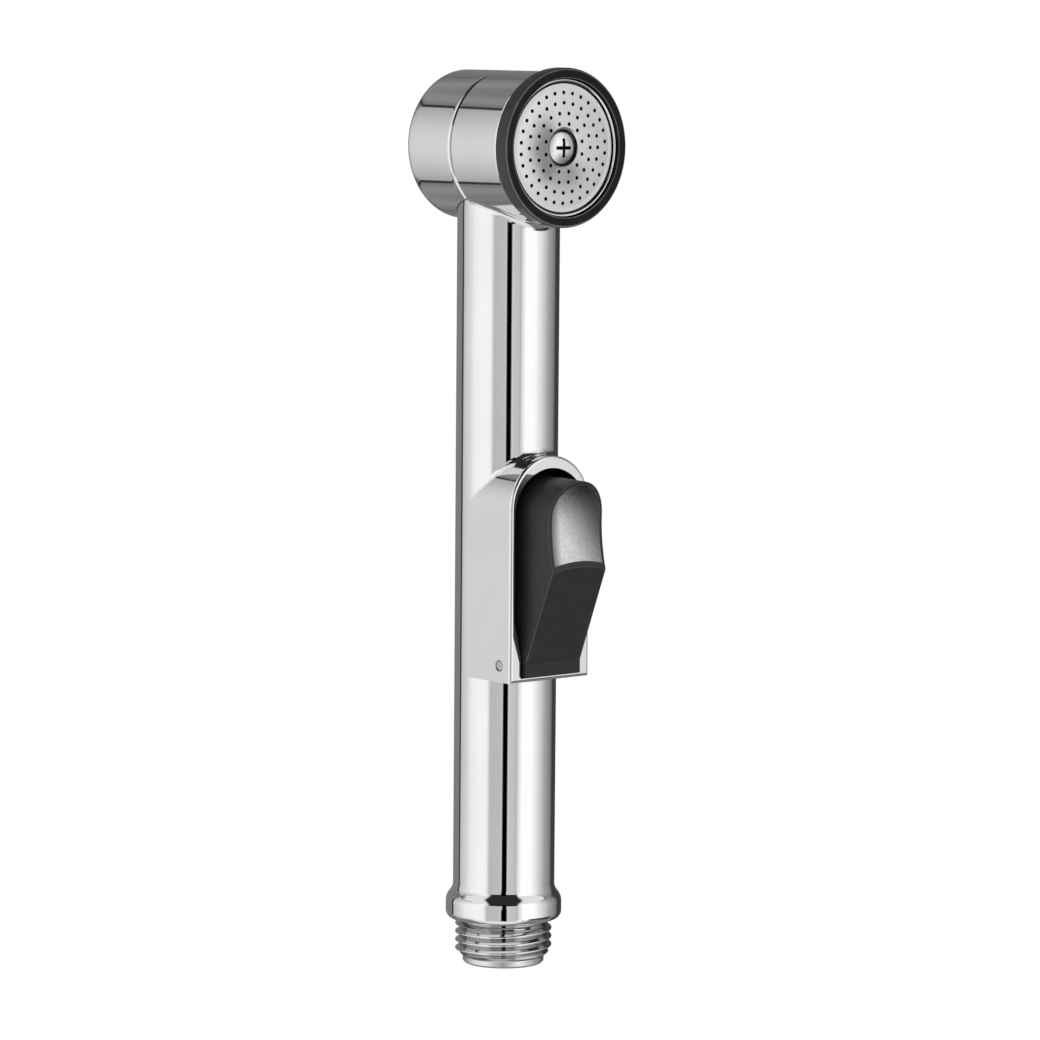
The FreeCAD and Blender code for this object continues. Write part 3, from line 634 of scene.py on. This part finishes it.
polished_steel = Finish("polished_steel", SCREW_STEEL, 0.14, metallic=1.0)
x, y, z = polished_steel.axes()
across, along = abs(x), abs(z - HEAD_HEIGHT)
upright = (1 - across.above(ARM_HALF_WIDTH, 0.02)) * (1 - along.above(ARM_LENGTH, 0.03))
level = (1 - along.above(ARM_HALF_WIDTH, 0.02)) * (1 - across.above(ARM_LENGTH, 0.03))
# The cross recess below the head's face is painted near black: painted shade.
recess = (upright + level).above(0.5, 0.1) * (1 - (-y).above(RECESS_EDGE, 0.08))
smears = polished_steel.noise(1.1, detail=3)
polished_steel.set("Base Color", polished_steel.blend(recess, SCREW_STEEL, RECESS_PAINTED_SHADE))
polished_steel.set("Roughness", 0.36 + smears * 0.08 + recess * 0.2)
polished_steel.bump(smears, SMEAR_DEPTH)
polished_steel.paint(nodes["centre_screw"])


# The handset stands upright before the lens, a metre away and turned by 40 degrees, so that the
# spray plate and the lever both show. The camera is a little above the head and looks down the
# handle, and is turned a trace about its own axis.
VIEW_AZIMUTH = math.radians(-40)
CAMERA_DISTANCE = 1.0
CAMERA_HEIGHT = 0.205
CAMERA_ROLL = math.radians(0.46)
SHARE_OF_HEIGHT = 0.87
SENSOR = 36.0
NEAR_END = 0.01

object_middle = (cad_box[0] + cad_box[1]) / 2
object_height = cad_box[1].z - cad_box[0].z
camera_place = Vector((
    math.sin(VIEW_AZIMUTH) * CAMERA_DISTANCE,
    -math.cos(VIEW_AZIMUTH) * CAMERA_DISTANCE,
    CAMERA_HEIGHT,
))
camera_data = bpy.data.cameras.new("studio_camera")
camera_data.sensor_width = SENSOR
camera_data.lens = SENSOR * CAMERA_DISTANCE * SHARE_OF_HEIGHT / object_height
camera_data.clip_start = NEAR_END
camera = bpy.data.objects.new("studio_camera", camera_data)
aim = (object_middle - camera_place).to_track_quat("-Z", "Y").to_matrix()
camera.matrix_world = Matrix.Translation(camera_place) @ (
    aim @ Matrix.Rotation(CAMERA_ROLL, 3, "Z")
).to_4x4()
bpy.context.scene.collection.objects.link(camera)
bpy.context.scene.camera = camera
bpy.context.scene.view_settings.view_transform = "Standard"


# The studio is a pale room with a wide soft box to each side of the camera, a dark gap behind the
# lens, a white front with a dark rig over it, and grey beyond the boxes' dark frames. Only
# reflections see the room, and the camera sees a plain white ground. Angles are in degrees.
BACKDROP = 1.0
GREY = 0.22
GREY_LIFT = 0.06
FRONT_WHITE = 0.88
BOX_TOP = 32.6
BOX_FALL = 0.3
FRAME_WIDTH = 1.6
FRAME_DARK = 0.85
RIG_HALF_WIDTH = 0.46
RIG_FOOT = 23
RIG_DARK = 0.97
FLOOR = (-74, 54)
CEILING = (-106, 112)
SHADOW = (58, 114)
SHADOW_TOP = -16
SHADOW_DARK = 0.94
STRIP = (-125, -119.5)
STRIP_REACH = 15
STRIP_DARK = 0.85
BOX_LIGHTS = (
    (-180, 0.22),
    (-128, 0.24),
    (-120, 0.24),
    (-117, 0.62),
    (-98, 0.78),
    (-82, 1.02),
    (-60, 1.1),
    (-41, 1.06),
    (-33, 0.57),
    (-8, 0.6),
    (-6, 0.78),
    (-4, 0.0),
    (6, 0.0),
    (8, 0.8),
    (11, 0.66),
    (24, 0.62),
    (27, 0.5),
    (29, 0.72),
    (40, 1.2),
    (63, 1.18),
    (104, 0.42),
    (126, 0.24),
    (137, 0.05),
    (168, 0.06),
    (180, 0.22),
)

world = bpy.data.worlds.new("studio")
world.use_nodes = True
bpy.context.scene.world = world
studio = world.node_tree
studio.nodes.clear()


def lights(mask, first, second):
    """The first light where the mask is 0, and the second where it is 1."""
    return add_node(
        studio, "ShaderNodeMix", {"data_type": "FLOAT"}, i0=mask, i2=first, i3=second,
    )["Result"]


way = add_node(studio, "ShaderNodeTexCoord")["Generated"]
split = add_node(studio, "ShaderNodeSeparateXYZ", i0=way)
towards = split["X"] * math.sin(VIEW_AZIMUTH) - split["Y"] * math.cos(VIEW_AZIMUTH)
sideways = split["X"] * math.cos(VIEW_AZIMUTH) + split["Y"] * math.sin(VIEW_AZIMUTH)
turn = towards.math("ARCTAN2", sideways, towards) * math.degrees(1)
height = towards.math("ARCSINE", split["Z"]) * math.degrees(1)

boxes = (turn / 360 + 0.5).ramp(*((angle / 360 + 0.5, light) for angle, light in BOX_LIGHTS))
fall = 1 - (height / BOX_TOP) ** 2 * (BOX_FALL * (1 - turn.above(-60, 15)))
shadow = turn.between(*SHADOW, 8) * (1 - height.above(SHADOW_TOP, 5))
strip = turn.between(*STRIP, 1) * (1 - abs(height).above(STRIP_REACH, 4))
boxes = boxes * fall * (1 - shadow * SHADOW_DARK) * (1 - strip * STRIP_DARK)

in_front = lights(height.above(0, 1), turn.between(*FLOOR, 8), turn.between(*CEILING, 6))
grey = GREY + abs(height).between(36, 39, 0.8) * GREY_LIFT
beyond = lights(in_front, grey, FRONT_WHITE)
seen = lights(abs(height).above(BOX_TOP, 0.4), boxes, beyond)
at_side = turn.between(-140, -76, 6) + turn.above(90, 6)
frames = abs(height).between(BOX_TOP, BOX_TOP + FRAME_WIDTH, 0.4) * at_side
rig = (
    (1 - abs(sideways).above(RIG_HALF_WIDTH, 0.05))
    * height.above(RIG_FOOT, 3)
    * towards.above(-0.2, 0.1)
)
seen = seen * (1 - frames * FRAME_DARK) * (1 - rig * RIG_DARK)
direct = add_node(studio, "ShaderNodeLightPath")["Is Camera Ray"]
backdrop = add_node(
    studio, "ShaderNodeBackground", Color=lights(direct, seen, BACKDROP), Strength=1.0,
)["Background"]
world_end = studio.nodes.new("ShaderNodeOutputWorld")
studio.links.new(backdrop.link, world_end.inputs["Surface"])


# The ground is plain white paper, lit evenly from below. It lies a little under the thread, so
# that no shadow touches the handset.
GROUND_DROP = 0.06
GROUND_SIZE = 6.0
GROUND_STEPS = 96
GROUND_GLOW = 0.83
GROUND_MATT = (0.5, 0.5, 0.5, 1)

ground_bm = bmesh.new()
bmesh.ops.create_circle(
    ground_bm, cap_ends=True, segments=GROUND_STEPS, radius=GROUND_SIZE,
    matrix=Matrix.Translation((0, 0, -GROUND_DROP)),
)
ground = finished(ground_bm, "ground")
ground_finish = bpy.data.materials.new("ground_paper")
ground_finish.use_nodes = True
paper = ground_finish.node_tree
paper.nodes.clear()
glow = add_node(
    paper, "ShaderNodeEmission", Color=(1, 1, 1, 1), Strength=GROUND_GLOW,
)["Emission"]
matt = add_node(paper, "ShaderNodeBsdfDiffuse", Color=GROUND_MATT)["BSDF"]
both = add_node(paper, "ShaderNodeAddShader", i0=glow, i1=matt)["Shader"]
paper_end = paper.nodes.new("ShaderNodeOutputMaterial")
paper.links.new(both.link, paper_end.inputs["Surface"])
ground.data.materials.append(ground_finish)
ground.visible_glossy = False
